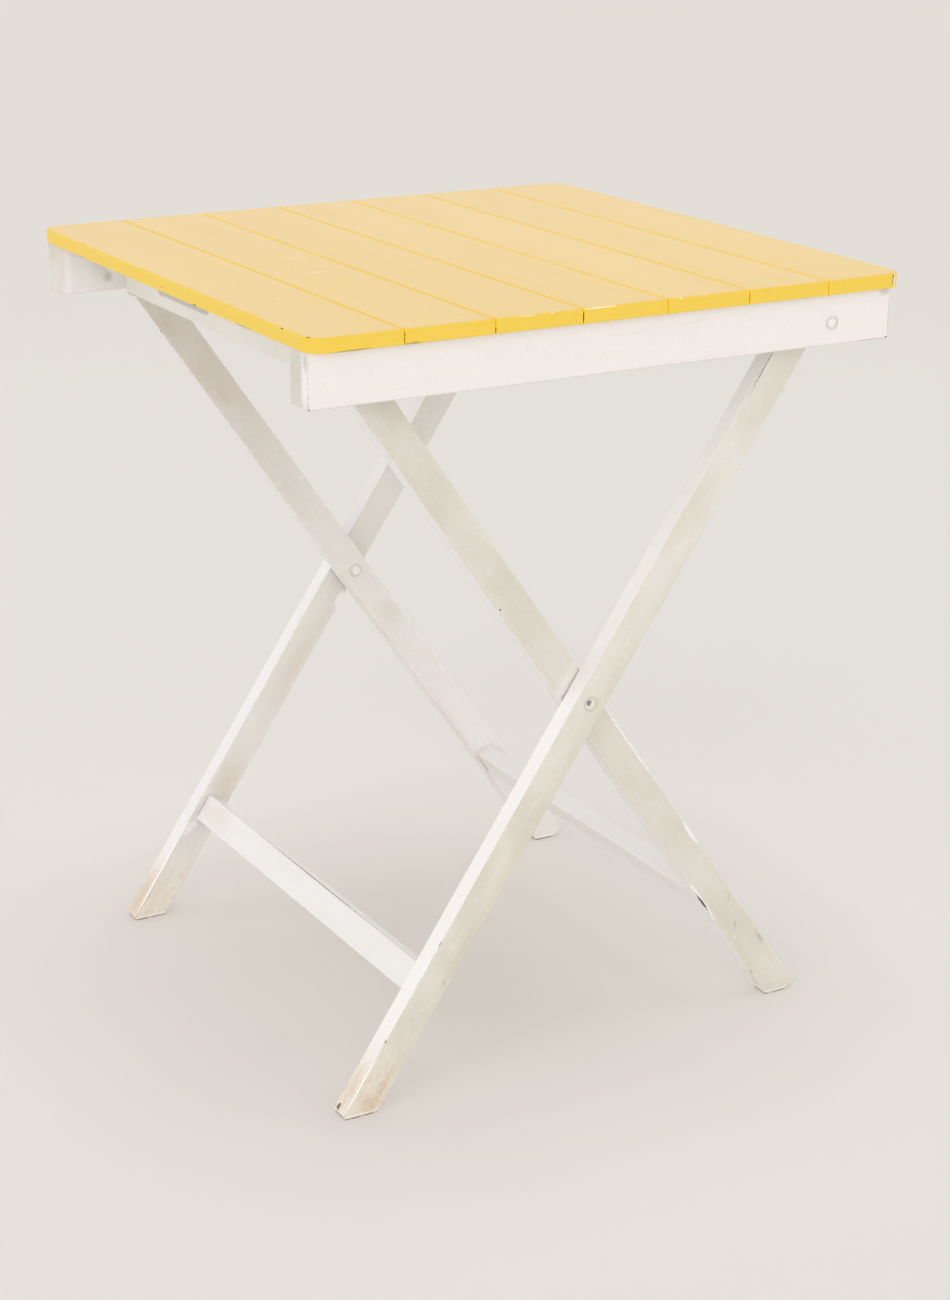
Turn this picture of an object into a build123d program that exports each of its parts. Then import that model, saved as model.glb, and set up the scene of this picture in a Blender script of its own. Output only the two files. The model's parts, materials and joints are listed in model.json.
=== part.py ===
from build123d import *
import os
from math import cos, radians, sin, tan

# Folding side table with a slatted wooden top on two crossed pairs of legs.
# Millimetres. +X runs along the rails, +Y along the boards, +Z up.
# The origin is on the floor, under the middle of the tabletop.

# ---- driving dimensions -------------------------------------------------
top_size = 600.0            # square tabletop, along X and along Y
top_height = 736.0          # floor to the upper face of the boards
board_count = 7
board_thickness = 13.0
board_gap = 0.6             # between neighbouring boards, at the bottom of each groove
corner_radius = 18.0        # tabletop corners, seen from above
board_arris = 1.1           # rounding of the boards' upper edges

rail_height = 48.0
ply_thickness = 17.0        # each rail is two laminations glued face to face
rail_inset = 9.0            # board ends stand this far out past the rails
rail_inset_left = 2.5       # rail end to tabletop edge, at the free end
rail_inset_right = 9.0      # rail end to tabletop edge, at the hinged end
rail_arris = 2.0

leg_width = 32.0            # across the leg, in the plane it swings in
leg_thickness = 20.0        # along Y
outer_leg_angle = 56.0      # outer legs to the floor
inner_leg_angle = 55.3      # inner legs to the floor
leg_arris = 1.5
crossing_height = 359.0     # height of the pivot where the legs cross
pivot_reach = 405.5         # from that pivot up the outer leg to the rail pivot
foot_chamfer = 6.0          # bevel on the sharp corner of an outer leg's sole
toe_length = 19.0           # an inner leg's sole curves up over this length
toe_lift = 8.5              # to this height
rail_play = 1.0             # space between a rail and an outer leg
leg_play = 1.5              # space between an outer and an inner leg

stretcher_width = 30.0      # along the leg
stretcher_thickness = 19.0  # across the leg
outer_stretcher_reach = 299.5
inner_stretcher_reach = 296.5
inner_stretcher_drop = 3.5  # below the inner leg's centre line
tenon_length = 12.0
tenon_shoulder = 4.0        # shoulder all round a stretcher's tenon

crossbar_thickness = 20.0
crossbar_lift = 1.0         # underside of the crossbar above the rails' underside
crossbar_play = 0.6         # between the crossbar's crown and the boards at rest
leg_tenon_height = 22.0     # the inner legs' tenons inside the crossbar
leg_tenon_width = 10.0
leg_tenon_breadth = 14.0    # along Y
slot_length = 126.0         # hand slot through the crossbar
slot_height = 23.0
slot_centre_y = 97.5
slot_sill = 12.5            # wood left below the slot

rivet_radius = 4.0
seat_clearance = 0.02       # rivet in a part that it turns with
running_clearance = 0.06    # rivet in a part that turns on it
head_radius = 5.8
head_thickness = 1.7
head_crown = 0.8            # doming of a rail rivet's head
head_bevel = 0.5            # edge of a leg rivet's flat head
recess_radius = 7.0         # round a rail rivet's head, and of an outer leg's countersink
recess_depth = 1.6
flare_radius = 6.1          # rolled-over end of a rivet
flare_height = 1.4
flare_wall = 0.9
flare_inset = 0.5           # flared end below the outer leg's face
bore_radius = 2.8           # hollow end of a rivet
bore_depth = 22.0
washer_radius = 9.0
washer_thickness = 1.2
leg_washer_radius = 10.0
washer_clearance = 0.1      # left free beside each washer

dowel_radius = 3.0
dowel_clearance = 0.05
dowel_in_board = 8.0
dowel_in_rail = 16.0
dowel_end_gap = 1.0         # air left past each end of a dowel
dowel_shift = 20.0          # each dowel to the board's centre line

# ---- places worked out from them ----------------------------------------
half_top = top_size / 2
board_pitch = top_size / board_count
underside = top_height - board_thickness
rail_bottom = underside - rail_height
rail_outer_y = half_top - rail_inset
rail_seam_y = rail_outer_y - ply_thickness
rail_inner_y = rail_seam_y - ply_thickness
outer_leg_y = rail_inner_y - rail_play              # outer face of an outer leg
outer_leg_inner_y = outer_leg_y - leg_thickness
inner_leg_y = outer_leg_inner_y - leg_play          # outer face of an inner leg
inner_leg_inner_y = inner_leg_y - leg_thickness

OUTER, INNER = 1, -1                                # which way a leg leans going up: +X or -X
leg_angles = {OUTER: radians(outer_leg_angle), INNER: radians(inner_leg_angle)}
crossing = (0.0, crossing_height)
rail_pivot = (pivot_reach * cos(leg_angles[OUTER]),
              crossing_height + pivot_reach * sin(leg_angles[OUTER]))

crossbar_bottom = rail_bottom + crossbar_lift
crossbar_top = underside - crossbar_play
crossbar_centre = (-(crossbar_bottom - crossing_height) / tan(leg_angles[INNER])
                   - leg_width / 2 / sin(leg_angles[INNER]) + crossbar_thickness / 2)
crossbar_crown = crossbar_thickness / 2             # radius of its rounded top

SIDES = {"near": -1, "far": 1}                      # -Y side and +Y side

os.makedirs("parts", exist_ok=True)


def save(piece, name):
    piece.part.label = name
    export_step(piece.part, f"parts/{name}.step")


def upright(side, y):
    """Plane parallel to XZ at distance y out on one side, facing -Y."""
    return Plane.XZ.offset(-side * y)


def facing_out(side, y, spot):
    """Plane at an (x, z) spot on one side, facing away from the table's middle."""
    return Plane(origin=(spot[0], side * y, spot[1]), x_dir=(1, 0, 0), z_dir=(0, side, 0))


def along_leg(lean):
    """Mid plane whose x runs along a leg: up an outer leg, down an inner leg."""
    run = (cos(leg_angles[lean]), 0, lean * sin(leg_angles[lean]))
    return Plane(origin=(0, 0, crossing_height), x_dir=run, z_dir=(0, -1, 0))


def leg_edge(lean, height, edge):
    """Point on the left (-1) or right (+1) edge of a leg at a height above the floor."""
    middle = lean * (height - crossing_height) / tan(leg_angles[lean])
    return (middle + edge * leg_width / 2 / sin(leg_angles[lean]), height)


# ---- tabletop boards ----------------------------------------------------
def dowel_spots(board_index):
    """The (x, y) places of one board's four dowels, two in each rail."""
    middle = -half_top + (board_index + 0.5) * board_pitch
    outer_y = (rail_outer_y + rail_seam_y) / 2
    inner_y = (rail_seam_y + rail_inner_y) / 2
    return [(middle + step * dowel_shift, side * y)
            for side in SIDES.values()
            for step, y in ((-1, outer_y), (1, inner_y))]


def make_board(index):
    left = -half_top + index * board_pitch
    right = left + board_pitch
    left += 0 if index == 0 else board_gap / 2
    right -= 0 if index == board_count - 1 else board_gap / 2
    with BuildPart() as board:
        with BuildSketch(Plane.XY.offset(underside)) as outline:
            with Locations(((left + right) / 2, 0)):
                Rectangle(right - left, top_size)
            if index == 0:
                fillet(outline.vertices().group_by(Axis.X)[0], corner_radius)
            if index == board_count - 1:
                fillet(outline.vertices().group_by(Axis.X)[-1], corner_radius)
        extrude(amount=board_thickness)
        fillet(board.faces().sort_by(Axis.Z)[-1].edges(), board_arris)
        fillet(board.faces().sort_by(Axis.Z)[0].edges(), board_arris / 2)
        with BuildSketch(Plane.XY.offset(underside)):
            with Locations(*dowel_spots(index)):
                Circle(dowel_radius + dowel_clearance)
        extrude(amount=dowel_in_board, mode=Mode.SUBTRACT)
    return board


for index in range(board_count):
    save(make_board(index), f"top_board_{index + 1}")


# ---- rails, two laminations each ----------------------------------------
def make_rail_ply(side, ply):
    is_outer = ply == "outer"
    outer_face = rail_outer_y if is_outer else rail_seam_y
    middle_y = side * (outer_face - ply_thickness / 2)
    step = -1 if is_outer else 1
    length = top_size - rail_inset_left - rail_inset_right
    middle_x = (rail_inset_left - rail_inset_right) / 2
    exposed = -1 if is_outer else 0
    with BuildPart() as rail:
        with BuildSketch(Plane.XY.offset(rail_bottom)):
            with Locations((middle_x, middle_y)):
                Rectangle(length, ply_thickness)
        extrude(amount=rail_height)
        lower_edges = rail.edges().filter_by(Axis.X).group_by(Axis.Z)[0]
        fillet(lower_edges.sort_by(lambda edge: side * edge.center().Y)[exposed], rail_arris)
        end_edges = rail.edges().filter_by(Axis.Z)
        fillet(end_edges.group_by(lambda edge: round(side * edge.center().Y))[exposed], rail_arris / 2)
        with BuildSketch(Plane.XY.offset(underside)):
            with Locations(*[(-half_top + (i + 0.5) * board_pitch + step * dowel_shift, middle_y)
                             for i in range(board_count)]):
                Circle(dowel_radius + dowel_clearance)
        extrude(amount=-dowel_in_rail, mode=Mode.SUBTRACT)
        with Locations(facing_out(side, outer_face, rail_pivot)):
            if is_outer:
                CounterBoreHole(rivet_radius + seat_clearance, recess_radius, recess_depth, ply_thickness)
            else:
                Hole(rivet_radius + seat_clearance, ply_thickness)
    return rail


for side_name, side in SIDES.items():
    for ply in ("outer", "inner"):
        save(make_rail_ply(side, ply), f"rail_{side_name}_{ply}_ply")


# ---- glued dowels between the boards and the rails -----------------------
for side_name, side in SIDES.items():
    with BuildPart() as dowels:
        with BuildSketch(Plane.XY.offset(underside - dowel_in_rail + dowel_end_gap)):
            for index in range(board_count):
                with Locations(*[spot for spot in dowel_spots(index) if spot[1] * side > 0]):
                    Circle(dowel_radius)
        extrude(amount=dowel_in_rail + dowel_in_board - 2 * dowel_end_gap)
    save(dowels, f"board_dowels_{side_name}")


# ---- outer legs, hinged on the rails --------------------------------------
def make_outer_leg(side):
    with BuildPart() as leg:
        with BuildSketch(upright(side, outer_leg_y)):
            with BuildLine():
                rise = leg_width / 2 * sin(leg_angles[OUTER])
                run = leg_width / 2 * cos(leg_angles[OUTER])
                shoulder_left = (rail_pivot[0] - rise, rail_pivot[1] + run)
                crown = (rail_pivot[0] + run, rail_pivot[1] + rise)
                shoulder_right = (rail_pivot[0] + rise, rail_pivot[1] - run)
                Polyline(shoulder_right, leg_edge(OUTER, 0, 1), leg_edge(OUTER, 0, -1), shoulder_left)
                ThreePointArc(shoulder_left, crown, shoulder_right)
            make_face()
        extrude(amount=side * leg_thickness)
        chamfer(leg.edges().filter_by(Axis.Y).sort_by(Axis.X)[0], foot_chamfer)
        fillet(leg.edges().filter_by(lambda edge: edge.length > 10 * leg_width), leg_arris)
        with BuildSketch(along_leg(OUTER)):
            with Locations((-outer_stretcher_reach, 0)):
                Rectangle(stretcher_width - 2 * tenon_shoulder, stretcher_thickness - 2 * tenon_shoulder)
        extrude(amount=-side * (outer_leg_inner_y + tenon_length), mode=Mode.SUBTRACT)
        with Locations(facing_out(side, outer_leg_y, rail_pivot)):
            Hole(rivet_radius + running_clearance, leg_thickness)
        with Locations(facing_out(side, outer_leg_y, crossing)):
            CounterSinkHole(rivet_radius + running_clearance, recess_radius, leg_thickness, 90)
    return leg


for side_name, side in SIDES.items():
    save(make_outer_leg(side), f"outer_leg_{side_name}")


# ---- inner legs, carrying the crossbar --------------------------------------
def make_inner_leg(side):
    middle_y = side * (inner_leg_y - leg_thickness / 2)
    with BuildPart() as leg:
        with BuildSketch(upright(side, inner_leg_y)):
            with BuildLine():
                toe_end = leg_edge(INNER, toe_lift, 1)
                toe_start = (toe_end[0] - toe_length, 0)
                TangentArc(toe_start, toe_end, tangent=(1, 0))
                Polyline(toe_end, leg_edge(INNER, crossbar_bottom, 1),
                         leg_edge(INNER, crossbar_bottom, -1), leg_edge(INNER, 0, -1), toe_start)
            make_face()
        extrude(amount=side * leg_thickness)
        fillet(leg.edges().filter_by(lambda edge: edge.length > 10 * leg_width), leg_arris)
        with BuildSketch(Plane.XY.offset(crossbar_bottom)):
            with Locations((crossbar_centre, middle_y)):
                Rectangle(leg_tenon_width, leg_tenon_breadth)
        extrude(amount=leg_tenon_height)
        with BuildSketch(along_leg(INNER)):
            with Locations((inner_stretcher_reach, -inner_stretcher_drop)):
                Rectangle(stretcher_width - 2 * tenon_shoulder, stretcher_thickness - 2 * tenon_shoulder)
        extrude(amount=-side * (inner_leg_inner_y + tenon_length), mode=Mode.SUBTRACT)
        with Locations(facing_out(side, inner_leg_y, crossing)):
            Hole(rivet_radius + seat_clearance, leg_thickness)
    return leg


for side_name, side in SIDES.items():
    save(make_inner_leg(side), f"inner_leg_{side_name}")


# ---- stretchers, tenoned into the legs ---------------------------------------
def make_stretcher(lean, centre, half_span):
    with BuildPart() as stretcher:
        with BuildSketch(along_leg(lean)):
            with Locations(centre):
                Rectangle(stretcher_width, stretcher_thickness)
        extrude(amount=half_span, both=True)
        fillet(stretcher.edges().filter_by(Axis.Y), leg_arris)
        with BuildSketch(along_leg(lean)):
            with Locations(centre):
                Rectangle(stretcher_width - 2 * tenon_shoulder, stretcher_thickness - 2 * tenon_shoulder)
        extrude(amount=half_span + tenon_length, both=True)
    return stretcher


outer_stretcher = make_stretcher(OUTER, (-outer_stretcher_reach, 0), outer_leg_inner_y)
save(outer_stretcher, "outer_stretcher")
inner_stretcher = make_stretcher(INNER, (inner_stretcher_reach, -inner_stretcher_drop), inner_leg_inner_y)
save(inner_stretcher, "inner_stretcher")


# ---- crossbar: stands on the inner legs and carries the free end of the top ---
with BuildPart() as crossbar:
    with BuildSketch(Plane.XZ) as section:
        with Locations((crossbar_centre, (crossbar_bottom + crossbar_top - crossbar_crown) / 2)):
            Rectangle(crossbar_thickness, crossbar_top - crossbar_crown - crossbar_bottom)
        fillet(section.vertices().group_by(Axis.Y)[0], leg_arris)
        with Locations((crossbar_centre, crossbar_top - crossbar_crown)):
            Circle(crossbar_crown)
    extrude(amount=inner_leg_y, both=True)
    with BuildSketch(Plane.YZ.offset(crossbar_centre)):
        with Locations((slot_centre_y, crossbar_bottom + slot_sill + slot_height / 2)):
            SlotOverall(slot_length, slot_height)
    extrude(amount=crossbar_thickness, both=True, mode=Mode.SUBTRACT)
    slot_edges = crossbar.edges().filter_by(
        lambda edge: abs(edge.center().Y - slot_centre_y) < slot_length / 2 + 1
        and edge.length < slot_length and abs(edge.tangent_at(0).X) < 0.5)
    fillet(slot_edges.group_by(Axis.X)[0] + slot_edges.group_by(Axis.X)[-1], leg_arris)
    with BuildSketch(Plane.XY.offset(crossbar_bottom)):
        for side in SIDES.values():
            with Locations((crossbar_centre, side * (inner_leg_y - leg_thickness / 2))):
                Rectangle(leg_tenon_width, leg_tenon_breadth)
    extrude(amount=leg_tenon_height, mode=Mode.SUBTRACT)
save(crossbar, "inner_crossbar")


# ---- rivets and washers, drawn as half sections and turned round their axis ----
def make_rail_rivet(side):
    """Domed head in the rail's recess, hollow end flared over a washer inside the leg."""
    seat = rail_outer_y - recess_depth
    rim = seat + head_thickness - head_crown
    crest = seat + head_thickness + head_crown
    washer_face = outer_leg_inner_y - washer_thickness
    end = washer_face - flare_height
    axis_plane = Plane(origin=(rail_pivot[0], 0, rail_pivot[1]), x_dir=(1, 0, 0), z_dir=(0, 0, side))
    with BuildPart() as rivet:
        with BuildSketch(axis_plane):
            with BuildLine():
                Polyline((head_radius, rim), (head_radius, seat), (rivet_radius, seat),
                         (rivet_radius, washer_face), (flare_radius, washer_face),
                         (flare_radius - flare_wall, end), (bore_radius, end),
                         (bore_radius, end + bore_depth), (0, end + bore_depth + bore_radius), (0, crest))
                TangentArc((0, crest), (head_radius, rim), tangent=(1, 0))
            make_face()
        revolve(axis=Axis((rail_pivot[0], 0, rail_pivot[1]), (0, 1, 0)))
    return rivet


def make_leg_rivet(side):
    """Flat head on the inner leg, hollow end flared into the outer leg's countersink."""
    end = outer_leg_y - flare_inset
    flare_start = end - (flare_radius - rivet_radius)
    head_face = inner_leg_inner_y - head_thickness
    axis_plane = Plane(origin=(0, 0, crossing_height), x_dir=(1, 0, 0), z_dir=(0, 0, side))
    with BuildPart() as rivet:
        with BuildSketch(axis_plane):
            with BuildLine():
                Polyline((0, head_face), (head_radius - head_bevel, head_face),
                         (head_radius, head_face + head_bevel),
                         (head_radius, inner_leg_inner_y), (rivet_radius, inner_leg_inner_y),
                         (rivet_radius, flare_start), (flare_radius, end), (flare_radius - flare_wall, end),
                         (bore_radius, flare_start), (bore_radius, end - bore_depth),
                         (0, end - bore_depth - bore_radius), close=True)
            make_face()
        revolve(axis=Axis((0, 0, crossing_height), (0, 1, 0)))
    return rivet


def make_washer(side, spot, inner_face, thickness, radius):
    with BuildPart() as washer:
        with BuildSketch(upright(side, inner_face)):
            with Locations(spot):
                Circle(radius)
                Circle(rivet_radius + running_clearance, mode=Mode.SUBTRACT)
        extrude(amount=-side * thickness)
    return washer


for side_name, side in SIDES.items():
    save(make_rail_rivet(side), f"rail_rivet_{side_name}")
    save(make_leg_rivet(side), f"leg_rivet_{side_name}")
    rail_spacer = make_washer(side, rail_pivot, outer_leg_y + washer_clearance,
                              rail_play - washer_clearance, washer_radius)
    save(rail_spacer, f"rail_spacer_{side_name}")
    rivet_washer = make_washer(side, rail_pivot, outer_leg_inner_y - washer_thickness,
                               washer_thickness - washer_clearance, washer_radius)
    save(rivet_washer, f"rail_rivet_washer_{side_name}")
    leg_spacer = make_washer(side, crossing, inner_leg_y, leg_play - washer_clearance, leg_washer_radius)
    save(leg_spacer, f"leg_spacer_{side_name}")
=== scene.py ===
import json
import math

import bpy
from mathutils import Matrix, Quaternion, Vector


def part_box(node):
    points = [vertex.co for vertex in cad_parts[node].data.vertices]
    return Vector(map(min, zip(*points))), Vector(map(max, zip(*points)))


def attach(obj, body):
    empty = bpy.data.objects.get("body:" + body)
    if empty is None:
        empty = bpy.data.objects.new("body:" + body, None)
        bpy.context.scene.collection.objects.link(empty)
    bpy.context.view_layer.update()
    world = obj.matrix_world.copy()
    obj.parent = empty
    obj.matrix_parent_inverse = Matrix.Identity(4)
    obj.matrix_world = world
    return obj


# Looks of a folding side table: seven painted boards on two crossed pairs of painted wooden legs.
# Metres. Every material works in the rest frame's own coordinates, so it rides with its body.

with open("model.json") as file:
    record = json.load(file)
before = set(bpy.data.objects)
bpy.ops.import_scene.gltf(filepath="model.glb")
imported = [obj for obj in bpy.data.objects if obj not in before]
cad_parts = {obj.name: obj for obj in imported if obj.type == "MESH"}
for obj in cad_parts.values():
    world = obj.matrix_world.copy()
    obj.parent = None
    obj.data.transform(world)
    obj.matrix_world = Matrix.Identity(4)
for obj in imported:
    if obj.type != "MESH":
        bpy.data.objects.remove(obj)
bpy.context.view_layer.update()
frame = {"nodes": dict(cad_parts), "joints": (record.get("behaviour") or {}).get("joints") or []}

# ---- places read from the frame -------------------------------------------------
JOINTS = {joint["name"]: joint for joint in frame["joints"]}
CROSSING = Vector(JOINTS["leg_fold"]["pos_m"])
RAIL_PIVOT = Vector(JOINTS["top_fold"]["pos_m"])
OUTER_ANGLE = math.atan2(RAIL_PIVOT.z - CROSSING.z, RAIL_PIVOT.x - CROSSING.x)
INNER_ANGLE = math.radians(55.3)    # the inner legs' slope in use
BOARDS = sorted(node for node in frame["nodes"] if node.startswith("top_board"))
TOP_LOW, TOP_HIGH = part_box(BOARDS[0])[0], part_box(BOARDS[-1])[1]
HALF_TOP = TOP_HIGH.x
TOP_HEIGHT = TOP_HIGH.z
BOARD_UNDERSIDE = TOP_LOW.z
FREE_END = TOP_LOW.x
NEAR_EDGE = TOP_LOW.y
BOARD_PITCH = 2 * HALF_TOP / len(BOARDS)
CORNER_RADIUS = 0.018
RAIL_HALF_LENGTH = (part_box("rail_near_outer_ply")[1].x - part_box("rail_near_outer_ply")[0].x) / 2
LEG_WIDTH = 0.032
LEG_THICKNESS = 0.020
NEAR_FACE = -LEG_THICKNESS / 2      # of a leg, across its thickness
RAIL_FACE = -0.017                  # the near rail's outer face and the far rail's inner face
STRETCHER_WIDTH = 0.030
STRETCHER_THICKNESS = 0.019
RIVET_RADIUS = 0.0061
RIVET_RING_RADIUS = 0.0047          # where the head turns down
ALONG_X = (0.0, 0.0, 0.0)
ALONG_Y = (0.0, 0.0, math.pi / 2)

# ---- colours, linear ---------------------------------------------------------------
YELLOW = (0.85, 0.583, 0.060)
# the paler yellow laid over the boards' upper faces is painted sheen
YELLOW_PAINTED_SHEEN = (0.660, 0.430, 0.245)
YELLOW_GOUGED = (0.93, 0.88, 0.70)
YELLOW_POOLED = (0.900, 0.600, 0.055)
UNDERCOAT = (0.760, 0.735, 0.700)
WHITE = (0.838, 0.803, 0.775)
COOL_WHITE = (0.815, 0.798, 0.790)
SMEAR = (0.34, 0.30, 0.24)
# painted light: the lighter paint of the near outer leg, whose narrow faces turn to the light
PAINTED_LIGHT_WHITE = (0.865, 0.845, 0.825)
BRIGHT_WHITE = (0.93, 0.915, 0.90)
CREAM = (0.80, 0.715, 0.60)
# painted shade: the first on the near legs' broad faces, the crossbar and a patch of the far rail, the second
# on the far legs' broad faces
PAINTED_SHADE_COLOUR = (0.634, 0.602, 0.514)
FAR_LEG_PAINTED_SHADE = (0.662, 0.630, 0.575)
END_GRAIN = (0.605, 0.588, 0.515)
TAN = (0.55, 0.42, 0.25)
WOOD = (0.16, 0.085, 0.045)
BROWN = (0.30, 0.17, 0.10)
# real dirt, and also the painted shade of the open grooves at the near edge
DIRT_AND_PAINTED_GAP_SHADE = (0.045, 0.030, 0.024)
RUST = (0.50, 0.26, 0.040)
STEEL = (0.36, 0.34, 0.31)
# painted shadow in the ring where a rivet's head turns down
RIVET_RING_PAINTED_SHADOW = (0.50, 0.46, 0.41)
PALE_GRAIN = (0.45, 0.29, 0.15)
YELLOW_THICK = (0.78, 0.50, 0.05)
# floor: an even tone far off, a painted pool of light near the table and painted shadow under it
FLOOR = (0.777, 0.746, 0.702)
FLOOR_NEAR_PAINTED_LIGHT = (0.806, 0.776, 0.744)
FLOOR_UNDER_PAINTED_SHADOW = (0.796, 0.758, 0.712)

# What a mark does to the paint: its colour, how much of it shows, how deep it lies, how ragged its rim is
# and how softly it fades out.
MARKS = {
    "chip": (WOOD, 0.88, 1.3, 0.75, 0.15),
    "crackle": (WOOD, 0.50, 0.6, 1.7, 0.2),
    "speck": (DIRT_AND_PAINTED_GAP_SHADE, 0.80, 0.5, 0.25, 0.2),
    "stain": (TAN, 0.20, 0.0, 0.35, 0.9),
    "rust": (RUST, 0.27, 0.0, 1.2, 0.7),
    "smear": (SMEAR, 0.40, 0.0, 0.8, 0.6),
    # painted shade of an open groove seen end on
    "gap": (DIRT_AND_PAINTED_GAP_SHADE, 0.90, 0.0, 0.30, 0.15),
    "rub": (BRIGHT_WHITE, 0.65, 0.0, 1.3, 0.3),
    "flake": (BRIGHT_WHITE, 0.95, 0.4, 0.5, 0.15),
    "scuff": (YELLOW_GOUGED, 0.85, 0.6, 1.0, 0.15),
    # painted shade
    "painted_shade_patch": (PAINTED_SHADE_COLOUR, 0.40, 0.0, 0.5, 0.5),
    # painted light
    "painted_light_patch": (BRIGHT_WHITE, 0.50, 0.0, 0.25, 0.8),
    "scrape": (BROWN, 0.75, 0.5, 0.9, 0.2),
    "gouge": (DIRT_AND_PAINTED_GAP_SHADE, 0.88, 1.3, 0.8, 0.15),
    "yellowed": (TAN, 0.22, 0.0, 1.3, 0.8),
}
# The noise that makes a mark's rim ragged: features per metre, and how far it moves the rim.
RIM_NOISE = (330, 520, 520)
RIM_REACH = 2.4


# ---- node tree helpers ----------------------------------------------------------------
class Graph:
    """One material's node tree, built by short calls that return sockets."""

    def __init__(self, name):
        self.material = bpy.data.materials.new(name)
        self.material.use_nodes = True
        self.nodes = self.material.node_tree.nodes
        self.links = self.material.node_tree.links
        self.nodes.clear()
        self.rest = self.nodes.new("ShaderNodeTexCoord").outputs["Object"]

    def put(self, socket, value):
        """Link a socket to an input, or set a plain value there; a colour gets its alpha."""
        if isinstance(value, bpy.types.NodeSocket):
            self.links.new(value, socket)
        elif value is not None:
            socket.default_value = (*value, 1.0) if socket.type == "RGBA" else value

    def node(self, kind, inputs, **settings):
        made = self.nodes.new(kind)
        for key, value in settings.items():
            setattr(made, key, value)
        for key, value in inputs.items():
            self.put(made.inputs[key], value)
        return made

    def math(self, operation, a, b=None):
        return self.node("ShaderNodeMath", {0: a, 1: b}, operation=operation).outputs[0]

    def add(self, *terms):
        total = terms[0]
        for term in terms[1:]:
            total = self.math("ADD", total, term)
        return total

    def times(self, *terms):
        total = terms[0]
        for term in terms[1:]:
            total = self.math("MULTIPLY", total, term)
        return total

    def ramp(self, value, low, high, out_low=0.0, out_high=1.0):
        """Smooth step from out_low at low to out_high at high."""
        made = self.node("ShaderNodeMapRange", {"Value": value, "From Min": low, "From Max": high,
                                                "To Min": out_low, "To Max": out_high},
                         interpolation_type="SMOOTHSTEP")
        return made.outputs["Result"]

    def mix(self, amount, a, b):
        made = self.node("ShaderNodeMix", {}, data_type="RGBA")
        self.put(made.inputs["Factor"], amount)
        self.put(made.inputs[6], a)
        self.put(made.inputs[7], b)
        return made.outputs[2]

    def noise(self, vector, per_metre, detail=2.0, roughness=0.5, seed=0.0):
        """Noise in 0..1 with its own number of features per metre along each axis."""
        scaled = self.node("ShaderNodeMapping", {"Vector": vector, "Scale": per_metre,
                                                 "Location": (seed * 3.7, seed * 1.3, seed * 2.1)},
                           vector_type="POINT")
        made = self.node("ShaderNodeTexNoise", {"Vector": scaled.outputs[0], "Scale": 1.0, "Detail": detail,
                                                "Roughness": roughness})
        return made.outputs["Fac"]

    def split(self, vector):
        return self.node("ShaderNodeSeparateXYZ", {"Vector": vector}).outputs

    def patch(self, vector, centre, size, ragged, soft, turn=0.0):
        """1 inside a ragged patch with half-axes size about centre, 0 outside."""
        moved = self.node("ShaderNodeMapping", {"Vector": vector, "Location": centre, "Scale": size,
                                                "Rotation": (0.0, turn, 0.0)}, vector_type="TEXTURE")
        reach = self.node("ShaderNodeVectorMath", {0: moved.outputs[0]}, operation="LENGTH").outputs["Value"]
        rim = self.noise(vector, RIM_NOISE, 4.0, 0.7)
        reach = self.add(reach, self.times(self.math("SUBTRACT", rim, 0.5), RIM_REACH * ragged))
        return self.ramp(reach, 1.0 + soft, 1.0 - soft)

    def ring(self, vector, centre, radius, width):
        """1 on a thin ring about an axis that runs across the piece."""
        x, _, z = self.split(vector)
        across = self.math("SUBTRACT", x, centre[0])
        up = self.math("SUBTRACT", z, centre[1])
        distance = self.math("SQRT", self.add(self.times(across, across), self.times(up, up)))
        return self.ramp(self.math("ABSOLUTE", self.math("SUBTRACT", distance, radius)), width, width * 0.4)

    def spots(self, vector, per_metre, radius, share):
        """Sparse round spots: 1 inside a spot, 0 outside. radius in metres, share of cells with one."""
        made = self.node("ShaderNodeTexVoronoi", {"Vector": vector, "Scale": per_metre, "Randomness": 1.0})
        near = self.ramp(made.outputs["Distance"], radius * per_metre, radius * per_metre * 0.5)
        picked = self.node("ShaderNodeSeparateColor", {"Color": made.outputs["Color"]})
        return self.times(near, self.math("LESS_THAN", picked.outputs[0], share))

    def finish(self, color, roughness, height, depth, gloss=0.5, **fixed):
        """The material: its colour, roughness, bump of a depth in metres, gloss and fixed inputs."""
        bump = self.node("ShaderNodeBump", {"Height": height, "Distance": depth, "Strength": 1.0})
        shader = self.node("ShaderNodeBsdfPrincipled", {"Base Color": color, "Roughness": roughness,
                                                        "Specular IOR Level": gloss,
                                                        "Normal": bump.outputs["Normal"]})
        for key, value in fixed.items():
            shader.inputs[key].default_value = value
        output = self.nodes.new("ShaderNodeOutputMaterial")
        self.links.new(shader.outputs[0], output.inputs["Surface"])
        return self.material


class Piece:
    """Local axes of one wooden piece: x along its length, y and z across it."""

    def __init__(self, graph, centre, rotation=(0.0, 0.0, 0.0)):
        self.graph = graph
        made = graph.node("ShaderNodeMapping", {"Vector": graph.rest, "Location": centre,
                                                "Rotation": rotation}, vector_type="TEXTURE")
        self.local = made.outputs["Vector"]
        self.x, self.y, self.z = graph.split(self.local)
        self.height = graph.split(graph.rest)[2]

    def inside(self, axis, half):
        """Distance inwards from the pair of faces at +half and -half on one local axis."""
        return self.graph.math("SUBTRACT", half, self.graph.math("ABSOLUTE", axis))

    def arris(self, *gaps):
        """Distance to the nearest arris, for a point on the surface: the second smallest gap."""
        g = self.graph
        if len(gaps) == 2:
            return g.math("MAXIMUM", *gaps)
        a, b, c = gaps
        small = g.math("MINIMUM", a, b)
        large = g.math("MAXIMUM", a, b)
        return g.math("MAXIMUM", small, g.math("MINIMUM", large, c))


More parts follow.
